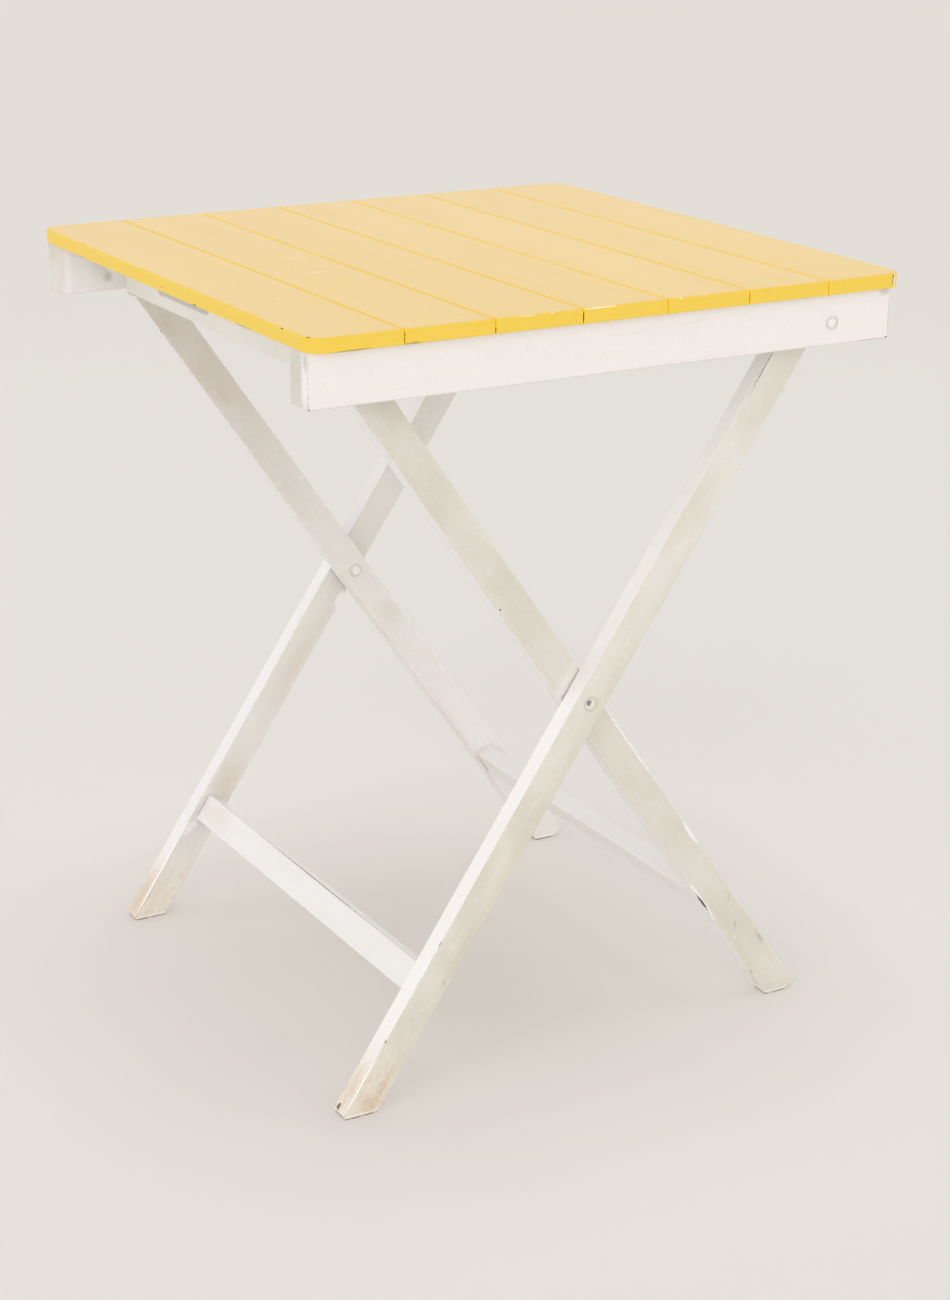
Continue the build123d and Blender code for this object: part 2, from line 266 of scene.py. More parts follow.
class Coat:
    """A coat of paint being built up: its colour, its height field and where it is bare."""

    def __init__(self, graph, color, height):
        self.graph = graph
        self.color = color
        self.height = height
        self.bare = 0.0

    def layer(self, mask, color, share=1.0, depth=0.0):
        g = self.graph
        self.color = g.mix(g.times(mask, share), self.color, color)
        if depth:
            self.height = g.math("SUBTRACT", self.height, g.times(mask, depth))
            self.bare = g.math("MAXIMUM", mask, self.bare)

    def mark(self, vector, kind, centre, size, turn=0.0):
        color, share, depth, ragged, soft = MARKS[kind]
        self.layer(self.graph.patch(vector, centre, size, ragged, soft, turn), color, share, depth)


# ---- painted wood --------------------------------------------------------------------------
def brushed(piece, seed, stroke, wave=0.8):
    """Height field of brush strokes, slow waves and fine dust nibs along the piece."""
    g = piece.graph
    strokes = g.noise(piece.local, (6, 190, 190), 4.0, 0.6, seed)
    waves = g.noise(piece.local, (5, 28, 28), 2.0, 0.5, seed)
    nibs = g.noise(piece.local, (900, 900, 900), 1.0, 0.5, seed)
    return g.add(g.times(strokes, 0.5 * stroke), g.times(waves, wave), g.times(nibs, 0.16))


def worn_edge(piece, distance, seed, width, amount):
    """0..1 mask of paint rubbed or chipped off along the arrises."""
    g = piece.graph
    runs = g.noise(piece.local, (9, 9, 9), 3.0, 0.6, seed)
    chips = g.noise(piece.local, (130, 260, 260), 4.0, 0.65, seed)
    reach = g.times(g.ramp(runs, 0.62 - amount, 0.86 - amount), g.ramp(chips, 0.40, 0.68), width)
    return g.ramp(g.math("SUBTRACT", reach, distance), 0.0, 0.00025)


def rounded_outline(g, x, y):
    """Distance inwards from the tabletop's outline, with its rounded corners."""
    core = HALF_TOP - CORNER_RADIUS
    over_x = g.math("SUBTRACT", g.math("ABSOLUTE", x), core)
    over_y = g.math("SUBTRACT", g.math("ABSOLUTE", y), core)
    inner = g.math("MINIMUM", g.math("MAXIMUM", over_x, over_y), 0.0)
    corner_x = g.math("MAXIMUM", over_x, 0.0)
    corner_y = g.math("MAXIMUM", over_y, 0.0)
    corner = g.math("SQRT", g.add(g.times(corner_x, corner_x), g.times(corner_y, corner_y)))
    return g.math("SUBTRACT", CORNER_RADIUS, g.add(corner, inner))


def yellow_board(index, marks):
    """Satin yellow paint: painted sheen on the upper face, deep in the grooves and on the edges."""
    g = Graph(f"yellow_paint_board_{index + 1}")
    middle = -HALF_TOP + (index + 0.5) * BOARD_PITCH
    piece = Piece(g, (middle, 0.0, 0.0), ALONG_Y)
    x, y, _ = g.split(g.rest)
    outline = rounded_outline(g, x, y)
    below_top = g.math("SUBTRACT", TOP_HEIGHT, piece.height)
    above_low = g.math("SUBTRACT", piece.height, BOARD_UNDERSIDE)

    mottling = g.noise(piece.local, (5, 9, 9), 5.0, 0.55, index * 1.1)
    streaks = g.noise(piece.local, (3, 55, 55), 5.0, 0.6, index * 1.9)
    stipple = g.noise(piece.local, (700, 700, 700), 2.0, 0.6)
    coat = Coat(g, YELLOW, brushed(piece, index + 1.0, 0.4, 0.2))
    # painted sheen: the upper face is paler, as its reflection of the bright room makes it, more so towards
    # the far edge
    upward = g.ramp(below_top, 0.0007, 0.0002)
    painted_sheen_share = g.add(g.ramp(mottling, 0.30, 0.70, 0.29, 0.33), g.ramp(y, NEAR_EDGE, -NEAR_EDGE, -0.01, 0.07))
    coat.layer(upward, YELLOW_PAINTED_SHEEN, painted_sheen_share)
    coat.layer(g.ramp(streaks, 0.50, 0.75), YELLOW, 0.03)
    coat.layer(g.ramp(stipple, 0.42, 0.60), YELLOW_PAINTED_SHEEN, g.times(upward, 0.10))
    # matt, deep paint in the grooves and round the rim
    groove = g.ramp(piece.inside(piece.y, BOARD_PITCH / 2), 0.0024, 0.0016)
    groove = g.times(groove, g.math("LESS_THAN", g.math("ABSOLUTE", x), HALF_TOP - 0.004))
    coat.layer(groove, YELLOW_POOLED, 0.9)
    rim = g.times(g.ramp(outline, 0.0030, 0.0018), g.ramp(below_top, 0.0009, 0.0004))
    coat.layer(rim, YELLOW_POOLED, 0.55)
    # the underside has undercoat only
    runs = g.noise(piece.local, (30, 60, 60), 4.0, 0.6, index * 1.7)
    under = g.ramp(g.math("SUBTRACT", above_low, g.times(runs, 0.0003)), 0.0006, 0.0002)
    coat.layer(under, UNDERCOAT, g.ramp(g.add(outline, g.times(runs, 0.02)), 0.010, 0.020))
    coat.layer(g.spots(piece.local, 16.0, 0.0008, 0.10), DIRT_AND_PAINTED_GAP_SHADE, 0.55, 0.5)
    upper_arris = g.math("MAXIMUM", outline, below_top)
    lower_arris = g.math("MAXIMUM", outline, above_low)
    coat.layer(worn_edge(piece, upper_arris, index + 1.0, 0.0010, 0.02), WOOD, 0.8, 1.0)
    coat.layer(worn_edge(piece, lower_arris, index + 4.0, 0.0012, 0.02), WOOD, 0.7, 1.0)
    for mark in marks:
        coat.mark(g.rest, *mark)

    roughness = g.add(g.ramp(streaks, 0.3, 0.7, 0.385, 0.415), g.times(coat.bare, 0.3))
    gloss = g.math("SUBTRACT", 0.5, g.times(g.math("MAXIMUM", groove, rim), 0.45))
    return g.finish(coat.color, roughness, coat.height, 0.00010, gloss, IOR=1.5)


def white_wood(name, seed, piece_of, gaps_of, marks=(), painted_shade_and_end_grain_where=None, dull=PAINTED_SHADE_COLOUR, wear=0.04, rings=(),
               base=WHITE, rust=0.5):
    """Old off-white paint: a darker colour over a given mask (painted shade, or real end grain), yellowed
    blotches, rubbed and chipped arrises, rust near the floor, painted shade round rivets and painted light in
    a hand slot.
    """
    g = Graph(name)
    piece = piece_of(g)
    gaps = gaps_of(piece)
    edge = piece.arris(*gaps)
    blotches = g.noise(piece.local, (8, 20, 20), 5.0, 0.60, seed)
    clouds = g.noise(piece.local, (14, 30, 30), 3.0, 0.55, seed + 3.1)
    streaks = g.noise(piece.local, (5, 120, 120), 4.0, 0.6, seed)
    mottle = g.noise(piece.local, (240, 240, 240), 4.0, 0.65, seed)

    coat = Coat(g, base, brushed(piece, seed, 1.1))
    cream = 0.10
    # painted shade over the mask on a leg's broad faces and on the crossbar; real dull end grain at a rail's
    # free end; more cream blotches there
    if painted_shade_and_end_grain_where:
        painted_shade_and_end_grain_share = painted_shade_and_end_grain_where(piece)
        coat.layer(painted_shade_and_end_grain_share, dull, g.ramp(clouds, 0.32, 0.64, 0.70, 1.0))
        cream = g.add(0.06, g.times(painted_shade_and_end_grain_share, 0.18))
    # yellowed blotches, tan streaks and fine mottling
    coat.layer(g.ramp(blotches, 0.44, 0.70), CREAM, cream)
    coat.layer(g.ramp(streaks, 0.56, 0.80), TAN, 0.10)
    coat.layer(g.ramp(mottle, 0.52, 0.72), TAN, 0.07)
    coat.layer(g.ramp(mottle, 0.46, 0.30), BRIGHT_WHITE, 0.22)
    coat.layer(g.ramp(edge, 0.0013, 0.0003), TAN, g.ramp(blotches, 0.35, 0.65, 0.10, 0.42))
    # cream and rust towards the floor
    low = g.ramp(piece.height, 0.090, 0.010)
    splashes = g.noise(piece.local, (120, 420, 420), 5.0, 0.7, seed)
    coat.layer(low, CREAM, 0.5 * rust)
    coat.layer(low, RUST, g.ramp(clouds, 0.40, 0.66, 0.01, 0.11 * rust))
    coat.layer(g.times(low, g.ramp(splashes, 0.52, 0.62)), RUST, 0.36 * rust)
    coat.layer(g.spots(piece.local, 52.0, 0.0006, 0.14), WOOD, 0.55, 0.4)
    coat.layer(worn_edge(piece, edge, seed, 0.0010, wear), WOOD, 0.75, 1.2)
    # painted shade: a thin tan ring round each rivet head, in the gap beside it
    for radius in rings:
        coat.layer(g.ring(piece.local, (0.0, 0.0), radius, 0.0005), TAN, g.ramp(streaks, 0.35, 0.6, 0.3, 0.8))
    for mark in marks:
        coat.mark(piece.local, *mark)

    # painted light inside a box-shaped piece's hand slot, against the shade there; and along the soles
    if len(gaps) == 3:
        slot_painted_light = g.math("MINIMUM", g.math("MINIMUM", gaps[0], gaps[1]), gaps[2])
        coat.layer(g.ramp(slot_painted_light, 0.0010, 0.0018), BRIGHT_WHITE, 0.9)
    ragged_height = g.add(piece.height, g.times(mottle, 0.0024))
    coat.layer(g.ramp(ragged_height, 0.0052, 0.0044), BRIGHT_WHITE, 0.4)
    coat.layer(g.ramp(ragged_height, 0.0028, 0.0022), WOOD, g.ramp(mottle, 0.36, 0.56, 0.25, 0.95), 1.0)

    roughness = g.add(g.ramp(blotches, 0.3, 0.7, 0.42, 0.55), g.times(coat.bare, 0.25))
    return g.finish(coat.color, roughness, coat.height, 0.00013, IOR=1.48)


def painted_shade_on_wide_faces(piece, low_share, high_share):
    """Painted shade on the broad side faces of a leg, not on its narrow faces, with its share uneven in
    height.
    """
    g = piece.graph
    to_narrow = piece.inside(piece.z, LEG_WIDTH / 2)
    to_wide = piece.inside(piece.y, LEG_THICKNESS / 2)
    broad = g.ramp(g.math("SUBTRACT", to_narrow, to_wide), -0.0004, 0.0008)
    return g.times(broad, g.ramp(piece.height, 0.12, 0.62, low_share, high_share))


def leg_material(node, seed, angle, marks, base, dull, shares, rust):
    low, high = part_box(node)
    middle_y = (low.y + high.y) / 2
    return white_wood(
        f"white_paint_{node}", seed,
        lambda g: Piece(g, (CROSSING.x, middle_y, CROSSING.z), (0.0, -angle, 0.0)),
        lambda p: (p.inside(p.z, LEG_WIDTH / 2), p.inside(p.y, LEG_THICKNESS / 2)),
        marks, lambda p: painted_shade_on_wide_faces(p, *shares), dull, rings=(RIVET_RADIUS + 0.0006,),
        base=base, rust=rust)


def box_material(name, nodes, seed, rotation, marks=(), wear=0.04, painted_shade_and_end_grain_where=None, dull=PAINTED_SHADE_COLOUR,
                 base=WHITE):
    """Material for pieces that together fill one upright box, lengthwise along X or Y."""
    lows, highs = zip(*(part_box(node) for node in nodes))
    low = Vector(min(corner[axis] for corner in lows) for axis in range(3))
    high = Vector(max(corner[axis] for corner in highs) for axis in range(3))
    half = (high - low) / 2
    along, across = (half.y, half.x) if rotation is ALONG_Y else (half.x, half.y)
    return white_wood(
        name, seed,
        lambda g: Piece(g, (low + high) / 2, rotation),
        lambda p: (p.inside(p.x, along), p.inside(p.y, across), p.inside(p.z, half.z)),
        marks, painted_shade_and_end_grain_where, dull, wear, base=base)


def rail_ends(piece):
    """End grain at the free end, which has drunk its paint and gone dull."""
    return piece.graph.ramp(piece.x, 0.0008 - RAIL_HALF_LENGTH, -RAIL_HALF_LENGTH)


def stretcher_material(node, seed, angle, marks):
    """A stretcher lies along Y, tilted with its legs: its local y points down its legs."""
    low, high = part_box(node)
    rotation = (Quaternion((0, 1, 0), -angle) @ Quaternion((0, 0, 1), math.pi / 2)).to_euler("XYZ")
    return white_wood(f"white_paint_{node}", seed,
                      lambda g: Piece(g, (low + high) / 2, rotation),
                      lambda p: (p.inside(p.y, STRETCHER_WIDTH / 2), p.inside(p.z, STRETCHER_THICKNESS / 2)),
                      marks, base=COOL_WHITE)


# ---- metal and bare wood -------------------------------------------------------------------
def painted_rivet(name):
    """Steel painted over with the frame, with a painted shadow ring where the head turns down."""
    g = Graph(f"painted_rivet_{name}")
    low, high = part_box(name)
    middle = (low + high) / 2
    blotches = g.noise(g.rest, (420, 420, 420), 4.0, 0.6)
    fine = g.noise(g.rest, (2200, 2200, 2200), 3.0, 0.6)
    ring = g.ring(g.rest, (middle.x, middle.z), RIVET_RING_RADIUS, 0.0006)
    color = g.mix(g.ramp(blotches, 0.54, 0.70, 0.0, 0.35), WHITE, TAN)
    color = g.mix(g.ramp(fine, 0.64, 0.75, 0.0, 0.3), color, STEEL)
    color = g.mix(g.times(ring, g.ramp(blotches, 0.3, 0.6, 0.35, 0.7)), color, RIVET_RING_PAINTED_SHADOW)
    height = g.math("SUBTRACT", fine, g.times(ring, 3.0))
    return g.finish(color, g.ramp(blotches, 0.4, 0.6, 0.4, 0.6), height, 0.00006, IOR=1.5)


def dull_steel(name):
    g = Graph(f"dull_steel_{name}")
    blotches = g.noise(g.rest, (260, 260, 260), 5.0, 0.65)
    color = g.mix(g.ramp(blotches, 0.42, 0.66), STEEL, RUST)
    return g.finish(color, g.ramp(blotches, 0.3, 0.7, 0.38, 0.7), blotches, 0.00008, Metallic=0.7)


def bare_wood(name):
    g = Graph(f"bare_wood_{name}")
    grain = g.noise(g.rest, (700, 700, 60), 4.0, 0.6)
    return g.finish(g.mix(grain, WOOD, PALE_GRAIN), 0.75, grain, 0.00010)


# ---- where the old paint is marked ------------------------------------------------------------------
# Each row is a kind, a place, a half-size and at times a turn. The boards' places are in the rest frame.
# The others are along their own piece, from its middle, or from the crossing on a leg.
# Most places were read off the photo and turned into metres by a scratch program, through the fitted
# camera, then rounded. The other places and the half-sizes are given one by one.
TOP_ARRIS = TOP_HEIGHT - 0.0005
LOW_ARRIS = BOARD_UNDERSIDE + 0.0003
ABOVE_LOW_ARRIS = BOARD_UNDERSIDE + 0.0006
BOARD_MARKS = {
    1: (("speck", (-0.277, 0.089, TOP_HEIGHT), (0.0008, 0.0008, 0.0008)),
        ("speck", (-0.277, 0.022, TOP_HEIGHT), (0.0007, 0.0007, 0.0008)),
        ("speck", (-0.259, -0.078, TOP_HEIGHT), (0.0009, 0.0008, 0.0008)),
        ("speck", (-0.258, -0.144, TOP_HEIGHT), (0.0008, 0.0009, 0.0008)),
        ("scrape", (-0.262, NEAR_EDGE, LOW_ARRIS), (0.0176, 0.0008, 0.0007)),
        ("chip", (FREE_END, -0.072, ABOVE_LOW_ARRIS), (0.0008, 0.0034, 0.0008)),
        ("chip", (FREE_END, -0.174, LOW_ARRIS), (0.0008, 0.0160, 0.0004)),
        ("scrape", (FREE_END, 0.192, LOW_ARRIS), (0.0008, 0.0112, 0.0005)),
        ("speck", (FREE_END, -0.001, 0.7275), (0.0008, 0.0010, 0.0007)),
        ("speck", (-0.299, 0.190, TOP_ARRIS), (0.0008, 0.0023, 0.0006)),
        ("chip", (-0.2995, -0.248, TOP_ARRIS), (0.0008, 0.0023, 0.0007)),
        ("chip", (-0.2960, -0.290, TOP_ARRIS), (0.0018, 0.0018, 0.0007))),
    2: (("scuff", (-0.154, 0.028, TOP_HEIGHT), (0.010, 0.0009, 0.001)),
        ("scuff", (-0.166, -0.044, TOP_HEIGHT), (0.008, 0.0009, 0.001)),
        ("crackle", (-0.205, NEAR_EDGE, ABOVE_LOW_ARRIS), (0.0080, 0.0008, 0.0010))),
    3: (("scuff", (-0.100, NEAR_EDGE, TOP_ARRIS), (0.009, 0.0010, 0.0003)),
        ("scuff", (-0.074, NEAR_EDGE, TOP_ARRIS), (0.002, 0.0010, 0.0004))),
    4: (("scuff", (-0.026, -0.2995, 0.7356), (0.015, 0.0012, 0.0006)),
        ("speck", (0.046, -0.245, TOP_HEIGHT), (0.0009, 0.0009, 0.0008))),
    # the first mark of board 5 is painted shade of the open groove
    5: (("gap", (0.1285, NEAR_EDGE, 0.7290), (0.0005, 0.0012, 0.0050)),
        ("scuff", (0.056, NEAR_EDGE, TOP_ARRIS), (0.002, 0.0010, 0.0005)),
        ("scuff", (0.080, NEAR_EDGE, TOP_ARRIS), (0.0015, 0.0010, 0.0005))),
    7: (("scuff", (0.2886, -0.2985, 0.7295), (0.0018, 0.003, 0.0060)),
        ("scrape", (0.2872, -0.2990, 0.7300), (0.0012, 0.003, 0.0050)),
        ("speck", (0.2876, -0.2985, 0.7338), (0.0014, 0.002, 0.0010))),
}
# marks on the near edge on both sides of a groove, crackle and the painted shade of open gaps: kind, height
# above the underside, half-size
GROOVE_MARK_SHIFT = 0.0002          # from the groove's middle, away from the board that shows the stain
GROOVE_MARKS = {
    1: ("crackle", 0.0065, (0.0009, 0.0010, 0.0055)),
    2: ("gap", 0.0030, (0.0007, 0.0014, 0.0035)),
    3: ("gap", 0.0060, (0.0008, 0.0018, 0.0062)),
}
# each rail's paint; the far rail's lighter colour is painted light against the shade under the tabletop
RAIL_PAINT = {"near": (0.820, 0.786, 0.770), "far": (0.890, 0.865, 0.850)}
RAIL_MARKS = {
    "near": (("rub", (-0.294, -0.010, 0.000), (0.003, 0.006, 0.026)),
             ("smear", (-0.294, -0.011, 0.015), (0.002, 0.003, 0.007)),
             ("chip", (-0.294, -0.016, -0.0235), (0.002, 0.0014, 0.0008)),
             ("smear", (0.2885, RAIL_FACE, 0.0205), (0.0055, 0.002, 0.0036)),
             ("scrape", (0.2942, RAIL_FACE, 0.000), (0.0007, 0.002, 0.0220)),
             ("scrape", (0.276, RAIL_FACE, -0.0238), (0.015, 0.002, 0.0006)),
             ("chip", (0.293, RAIL_FACE, -0.0230), (0.002, 0.001, 0.0010))),
    # the first mark of the far rail is painted shade up under the boards; the rest are real marks
    "far": (("painted_shade_patch", (-0.250, RAIL_FACE, 0.010), (0.012, 0.004, 0.020)),
            ("flake", (-0.2870, RAIL_FACE, 0.000), (0.0034, 0.003, 0.030)),
            ("smear", (-0.250, RAIL_FACE, 0.018), (0.026, 0.003, 0.006)),
            ("rub", (-0.244, RAIL_FACE, -0.002), (0.016, 0.003, 0.0020), 0.785),
            ("rub", (-0.236, RAIL_FACE, -0.008), (0.015, 0.003, 0.0016), 0.785),
            ("smear", (-0.246, RAIL_FACE, -0.010), (0.004, 0.003, 0.004))),
}
LEG_MARKS = {
    "outer_leg_near": (("scrape", (-0.0060, 0.0100, 0.0160), (0.0172, 0.0008, 0.0008)),
                       ("crackle", (0.343, NEAR_FACE, 0.0152), (0.022, 0.0010, 0.0009)),
                       ("chip", (0.336, NEAR_FACE, -0.0158), (0.0015, 0.0011, 0.0010)),
                       ("chip", (0.115, NEAR_FACE, -0.0156), (0.0012, 0.0011, 0.0008)),
                       ("stain", (-0.190, NEAR_FACE, -0.0125), (0.110, 0.0030, 0.0070)),
                       ("crackle", (-0.258, NEAR_FACE, 0.0158), (0.0030, 0.0010, 0.0008)),
                       ("rub", (-0.285, NEAR_FACE, 0.0160), (0.0036, 0.0014, 0.0009)),
                       ("smear", (-0.288, NEAR_FACE, -0.0095), (0.0030, 0.0010, 0.0012)),
                       ("chip", (-0.360, NEAR_FACE, 0.0158), (0.0022, 0.0009, 0.0007)),
                       ("flake", (-0.405, NEAR_FACE, 0.0157), (0.030, 0.0010, 0.0010)),
                       ("rust", (-0.398, NEAR_FACE, -0.0060), (0.016, 0.0020, 0.0030)),
                       ("rust", (-0.420, NEAR_FACE, -0.0020), (0.010, 0.0020, 0.0090)),
                       ("rust", (-0.412, 0.001, 0.0160), (0.024, 0.0090, 0.0020)),
                       ("chip", (-0.434, 0.004, 0.0160), (0.0034, 0.0024, 0.0014))),
    "inner_leg_near": (("speck", (-0.128, NEAR_FACE, -0.0135), (0.0010, 0.0007, 0.0010)),
                       # painted light on the inner leg beside the outer leg, where that leg's shade falls
                       ("painted_light_patch", (-0.0190, NEAR_FACE, 0.000), (0.0080, 0.0020, 0.0220), -0.388),
                       ("rub", (0.075, NEAR_FACE, 0.0152), (0.045, 0.0016, 0.0014)),
                       ("rub", (0.206, NEAR_FACE, 0.0148), (0.016, 0.0020, 0.0022)),
                       ("flake", (0.280, NEAR_FACE, -0.0156), (0.027, 0.0040, 0.0019)),
                       ("scrape", (0.282, NEAR_FACE, -0.0160), (0.024, 0.0012, 0.0008)),
                       ("gouge", (0.281, NEAR_FACE, -0.0158), (0.0105, 0.0030, 0.0012)),
                       ("smear", (0.299, NEAR_FACE, 0.0100), (0.0050, 0.0010, 0.0006), 0.5),
                       ("smear", (0.331, NEAR_FACE, -0.0010), (0.0056, 0.0008, 0.0011), 0.5),
                       ("smear", (0.365, NEAR_FACE, 0.0120), (0.0070, 0.0010, 0.0020)),
                       ("crackle", (0.390, NEAR_FACE, -0.0150), (0.0034, 0.0012, 0.0008)),
                       ("rust", (0.404, -0.003, -0.0160), (0.010, 0.0060, 0.0010))),
    "inner_leg_far": (("stain", (-0.352, NEAR_FACE, -0.0070), (0.0120, 0.0020, 0.0060)),
                      ("chip", (-0.350, NEAR_FACE, -0.0158), (0.0018, 0.0008, 0.0007)),
                      ("stain", (-0.252, NEAR_FACE, -0.0036), (0.0090, 0.0020, 0.0050)),
                      ("stain", (0.231, NEAR_FACE, -0.0145), (0.036, 0.0020, 0.0030)),
                      ("stain", (-0.300, NEAR_FACE, 0.0000), (0.070, 0.0020, 0.0180)),
                      ("yellowed", (0.066, NEAR_FACE, 0.0020), (0.014, 0.0020, 0.0090))),
    "outer_leg_far": (("rub", (-0.034, NEAR_FACE, -0.0140), (0.0090, 0.0020, 0.0040)),
                      ("yellowed", (-0.416, 0.000, 0.0160), (0.026, 0.0120, 0.0020)),
                      ("yellowed", (-0.258, NEAR_FACE, 0.0000), (0.022, 0.0020, 0.0110)),
                      ("stain", (-0.120, NEAR_FACE, -0.0050), (0.060, 0.0020, 0.0070)),
                      ("rust", (-0.416, 0.000, 0.0160), (0.030, 0.0120, 0.0030)),
                      ("flake", (-0.384, NEAR_FACE, 0.0157), (0.052, 0.0012, 0.0011)),
                      ("rub", (-0.326, NEAR_FACE, 0.0110), (0.0120, 0.0020, 0.0050), 0.4),
                      ("stain", (-0.276, NEAR_FACE, -0.0060), (0.018, 0.0020, 0.0100))),
}
# the paint, the colour of the painted shade on the broad faces, its share near the floor and near the top,
# how rusty the foot is
LEG_PAINT = {
    # the near outer leg's lighter paint is painted light
    "outer_leg_near": (PAINTED_LIGHT_WHITE, PAINTED_SHADE_COLOUR, (1.0, 0.80), 0.9),
    "inner_leg_near": (COOL_WHITE, PAINTED_SHADE_COLOUR, (0.95, 0.95), 0.1),
    "inner_leg_far": (COOL_WHITE, FAR_LEG_PAINTED_SHADE, (0.25, 0.95), 0.3),
    "outer_leg_far": (COOL_WHITE, FAR_LEG_PAINTED_SHADE, (0.65, 0.95), 0.8),
}
# painted shade on the crossbar, which lies under the tabletop
CROSSBAR_PAINTED_SHADE_SHARE = 0.42              # the same share all over it
STRETCHER_MARKS = {
    "outer_stretcher": (("yellowed", (0.200, 0.0, 0.0095), (0.030, 0.012, 0.0020)),
                        ("crackle", (0.2355, 0.0, 0.0095), (0.0011, 0.0128, 0.0016)),
                        ("scrape", (-0.030, -0.0148, 0.0094), (0.104, 0.0008, 0.0008))),
    "inner_stretcher": (("chip", (0.2135, 0.0, -0.0095), (0.0007, 0.0109, 0.0014)),
                        ("stain", (0.196, 0.010, -0.0095), (0.018, 0.005, 0.0020))),
}


def assign(node, material):
    mesh = frame["nodes"][node].data
    mesh.materials.clear()
    mesh.materials.append(material)


def groove_marks(board_number):
    """Marks beside the grooves to the left and the right of a board."""
    for groove, shift in ((board_number - 1, -GROOVE_MARK_SHIFT), (board_number, GROOVE_MARK_SHIFT)):
        if groove in GROOVE_MARKS:
            kind, up, size = GROOVE_MARKS[groove]
            yield kind, (-HALF_TOP + groove * BOARD_PITCH + shift, NEAR_EDGE, BOARD_UNDERSIDE + up), size


for index, board in enumerate(BOARDS):
    number = index + 1
    assign(board, yellow_board(index, (*groove_marks(number), *BOARD_MARKS.get(number, ()))))
for seed, side in enumerate(("near", "far"), start=1):
    plies = [f"rail_{side}_outer_ply", f"rail_{side}_inner_ply"]
    rail = box_material(f"white_paint_rail_{side}", plies, seed, ALONG_X, RAIL_MARKS[side], painted_shade_and_end_grain_where=rail_ends,
                        dull=END_GRAIN, base=RAIL_PAINT[side])
    for ply in plies:
        assign(ply, rail)
    for offset, (leg, angle) in enumerate((("outer_leg", OUTER_ANGLE), ("inner_leg", -INNER_ANGLE)),
                                          start=1):
        node = f"{leg}_{side}"
        assign(node, leg_material(node, seed + 2 * offset, angle, LEG_MARKS[node], *LEG_PAINT[node]))
    assign(f"board_dowels_{side}", bare_wood(side))
    for rivet in (f"rail_rivet_{side}", f"leg_rivet_{side}"):
        assign(rivet, painted_rivet(rivet))
    for washer in (f"rail_spacer_{side}", f"rail_rivet_washer_{side}", f"leg_spacer_{side}"):
        assign(washer, dull_steel(washer))
for seed, (node, angle) in enumerate((("outer_stretcher", OUTER_ANGLE), ("inner_stretcher", -INNER_ANGLE)),
                                     start=7):
    assign(node, stretcher_material(node, seed, angle, STRETCHER_MARKS[node]))
assign("inner_crossbar", box_material("white_paint_crossbar", ["inner_crossbar"], 9, ALONG_Y, wear=0.02,
                                     painted_shade_and_end_grain_where=lambda piece: CROSSBAR_PAINTED_SHADE_SHARE))


# ---- paint that has run into the grooves ------------------------------------------------------------
GROOVE_HALF_WIDTH = 0.0004
BEAD_LENGTH_STEP = 0.004
BEAD_END = 0.0012                   # short of the boards' rounded ends
BEAD_SUNK = 0.00072                 # below the boards' upper faces
BEAD_HOLLOW = 0.00016


def bead_depth(y, near_gap, near_depth):
    """How far down the paint reaches: shallow along the groove, deeper at the near edge where it ran."""
    if y < -HALF_TOP + near_gap + 0.004:
        return near_depth
    return 0.0022 + 0.0006 * math.sin(41.0 * y)


def groove_bead(index, near_gap, near_depth):
    """A thin bead of paint bridging the gap between two boards, sunk a little and hollow on top."""
    x = -HALF_TOP + index * BOARD_PITCH
    start = -HALF_TOP + BEAD_END + near_gap
    end = HALF_TOP - BEAD_END
    count = round((end - start) / BEAD_LENGTH_STEP)
    points, faces = [], []
    for step in range(count + 1):
        y = start + (end - start) * step / count
        sunk = BEAD_SUNK + 0.00014 * math.sin(57.0 * y + index) + 0.00010 * math.sin(173.0 * y)
        high = TOP_HEIGHT - sunk
        low = high - bead_depth(y, near_gap, near_depth)
        hollow = high - BEAD_HOLLOW
        points += [(x - GROOVE_HALF_WIDTH, y, low), (x - GROOVE_HALF_WIDTH, y, high), (x, y, hollow),
                   (x + GROOVE_HALF_WIDTH, y, high), (x + GROOVE_HALF_WIDTH, y, low)]
        if step:
            base = 5 * step
            for side in range(5):
                other = (side + 1) % 5
                faces.append((base - 5 + side, base - 5 + other, base + other, base + side))
    last = 5 * count
    faces.append((0, 1, 2, 3, 4))
    faces.append((last + 4, last + 3, last + 2, last + 1, last))
    mesh = bpy.data.meshes.new(f"groove_paint_{index}")
    mesh.from_pydata(points, [], faces)
    mesh.update()
    bead = bpy.data.objects.new(mesh.name, mesh)
    bpy.context.scene.collection.objects.link(bead)
    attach(bead, "top")
    return bead


def groove_paint():
    """The same yellow, thicker and glossier where it has pooled."""
    g = Graph("groove_paint")
    waves = g.noise(g.rest, (300, 60, 300), 3.0, 0.6)
    color = g.mix(g.ramp(waves, 0.35, 0.65), YELLOW, YELLOW_THICK)
    return g.finish(color, g.ramp(waves, 0.3, 0.7, 0.28, 0.36), waves, 0.00005, IOR=1.5)


pooled = groove_paint()
# gap left open at the near end, and depth of the run there, for each of the six grooves
for index, (near_gap, near_depth) in enumerate(
        ((0.0000, 0.0105), (0.0000, 0.0055), (0.0060, 0.0030), (0.0000, 0.0105), (0.0020, 0.0030),
         (0.0000, 0.0100)), start=1):
    groove_bead(index, near_gap, near_depth).data.materials.append(pooled)


# ---- floor, light and camera ----------------------------------------------------------------
FLOOR_SIZE = 60.0
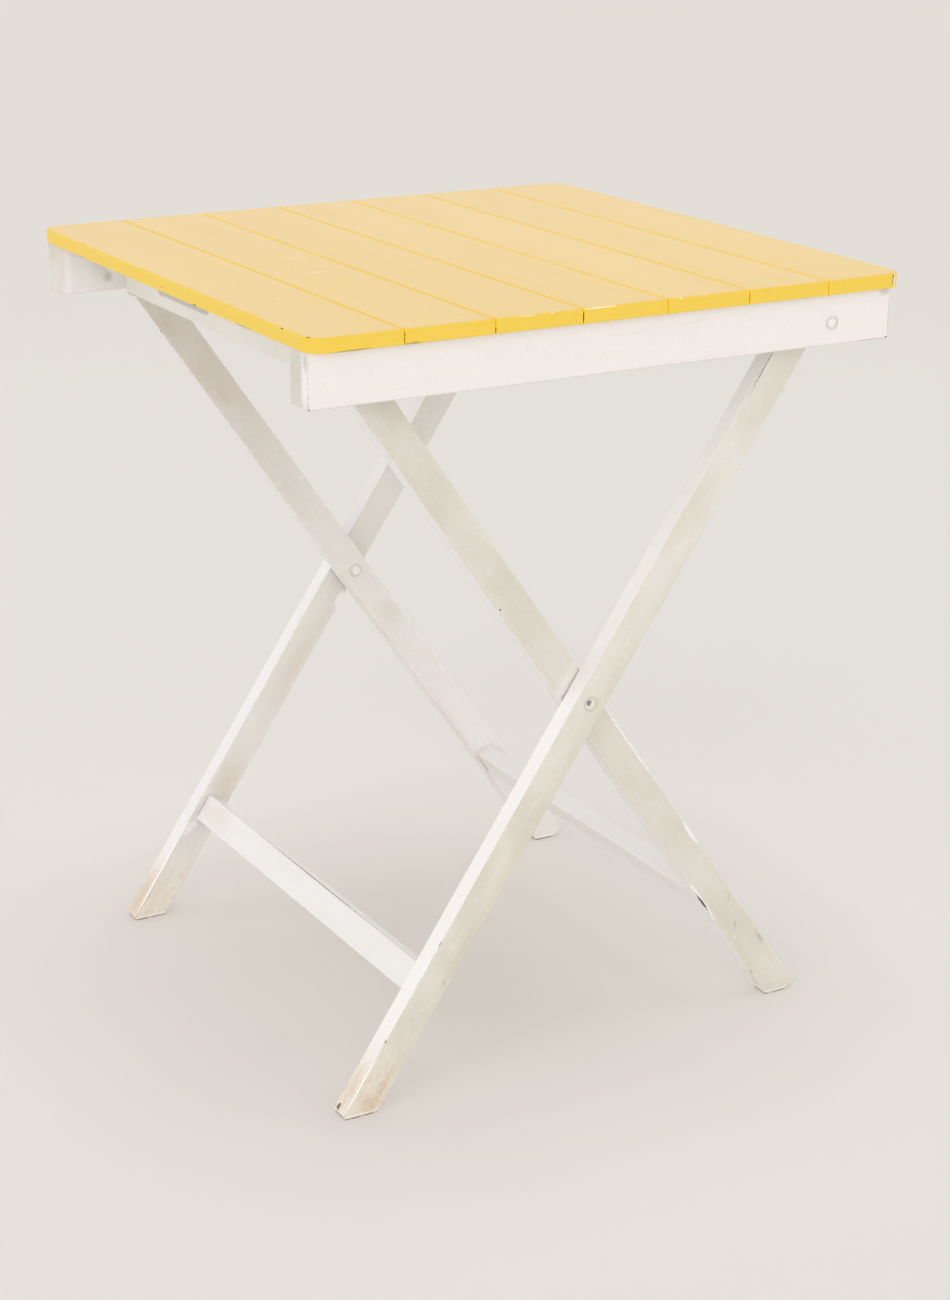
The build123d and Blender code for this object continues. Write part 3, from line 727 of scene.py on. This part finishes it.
# painted shadow under the table, then a painted pool of light round it, fading into the even far floor
PAINTED_SHADOW_REACH = (0.12, 0.50)          # from under the table to the floor near it, from the middle
PAINTED_LIGHT_REACH = (0.5, 4.0)             # and from there to the far floor
HORIZON_LIGHT, ZENITH_LIGHT = 1.95, 0.15
CAMERA_SENSOR, CAMERA_LENS = 36.0, 71.43
CAMERA_PLACE = (-1.1886, -2.1230, 1.1729)
CAMERA_HEADING, CAMERA_DIP, CAMERA_ROLL = 0.519, 0.332, 0.004


def studio_floor():
    bpy.ops.mesh.primitive_plane_add(size=FLOOR_SIZE, location=(0.0, 0.0, 0.0))
    floor = bpy.context.object
    floor.name = "studio_floor"
    g = Graph("studio_floor")
    away = g.node("ShaderNodeVectorMath", {0: g.rest}, operation="LENGTH").outputs["Value"]
    # painted shadow under the table and a painted pool of light round it
    tone = g.mix(g.ramp(away, *PAINTED_SHADOW_REACH), FLOOR_UNDER_PAINTED_SHADOW, FLOOR_NEAR_PAINTED_LIGHT)
    tone = g.mix(g.ramp(away, *PAINTED_LIGHT_REACH), tone, FLOOR)
    shader = g.node("ShaderNodeBsdfDiffuse", {"Color": tone})
    output = g.nodes.new("ShaderNodeOutputMaterial")
    g.links.new(shader.outputs[0], output.inputs["Surface"])
    floor.data.materials.append(g.material)


def studio_world():
    """A pale room that is brightest towards the horizon."""
    world = bpy.data.worlds.new("studio")
    world.use_nodes = True
    tree = world.node_tree
    coords = tree.nodes.new("ShaderNodeTexCoord")
    split = tree.nodes.new("ShaderNodeSeparateXYZ")
    level = tree.nodes.new("ShaderNodeMapRange")
    level.inputs["From Min"].default_value = 0.0
    level.inputs["From Max"].default_value = 1.0
    level.inputs["To Min"].default_value = HORIZON_LIGHT
    level.inputs["To Max"].default_value = ZENITH_LIGHT
    background = tree.nodes["Background"]
    background.inputs["Color"].default_value = (1.0, 0.995, 0.99, 1.0)
    tree.links.new(coords.outputs["Generated"], split.inputs[0])
    tree.links.new(split.outputs[2], level.inputs["Value"])
    tree.links.new(level.outputs["Result"], background.inputs["Strength"])
    bpy.context.scene.world = world


def soft_sun(name, strength, toward, spread):
    """A wide, weak, even light."""
    light = bpy.data.lights.new(name, "SUN")
    light.energy = strength
    light.angle = math.radians(spread)
    lamp = bpy.data.objects.new(name, light)
    lamp.rotation_euler = Vector(toward).to_track_quat("-Z", "Y").to_euler()
    bpy.context.scene.collection.objects.link(lamp)


def photo_camera():
    """Seen from the free end of the top, a little above it, as the camera fit to the photo gives it."""
    camera = bpy.data.cameras.new("camera")
    camera.sensor_width = CAMERA_SENSOR
    camera.lens = CAMERA_LENS
    holder = bpy.data.objects.new("camera", camera)
    holder.location = CAMERA_PLACE
    holder.rotation_mode = "QUATERNION"
    holder.rotation_quaternion = (Quaternion((0, 0, 1), -CAMERA_HEADING)
                                  @ Quaternion((1, 0, 0), math.pi / 2 - CAMERA_DIP)
                                  @ Quaternion((0, 0, 1), CAMERA_ROLL))
    bpy.context.scene.collection.objects.link(holder)
    bpy.context.scene.camera = holder


studio_floor()
studio_world()
soft_sun("side_light", strength=0.38, toward=(0.75, 0.75, -0.55), spread=60.0)
soft_sun("overhead_light", strength=0.58, toward=(-0.05, -0.02, -1.0), spread=36.0)
photo_camera()
bpy.context.scene.view_settings.view_transform = "Standard"
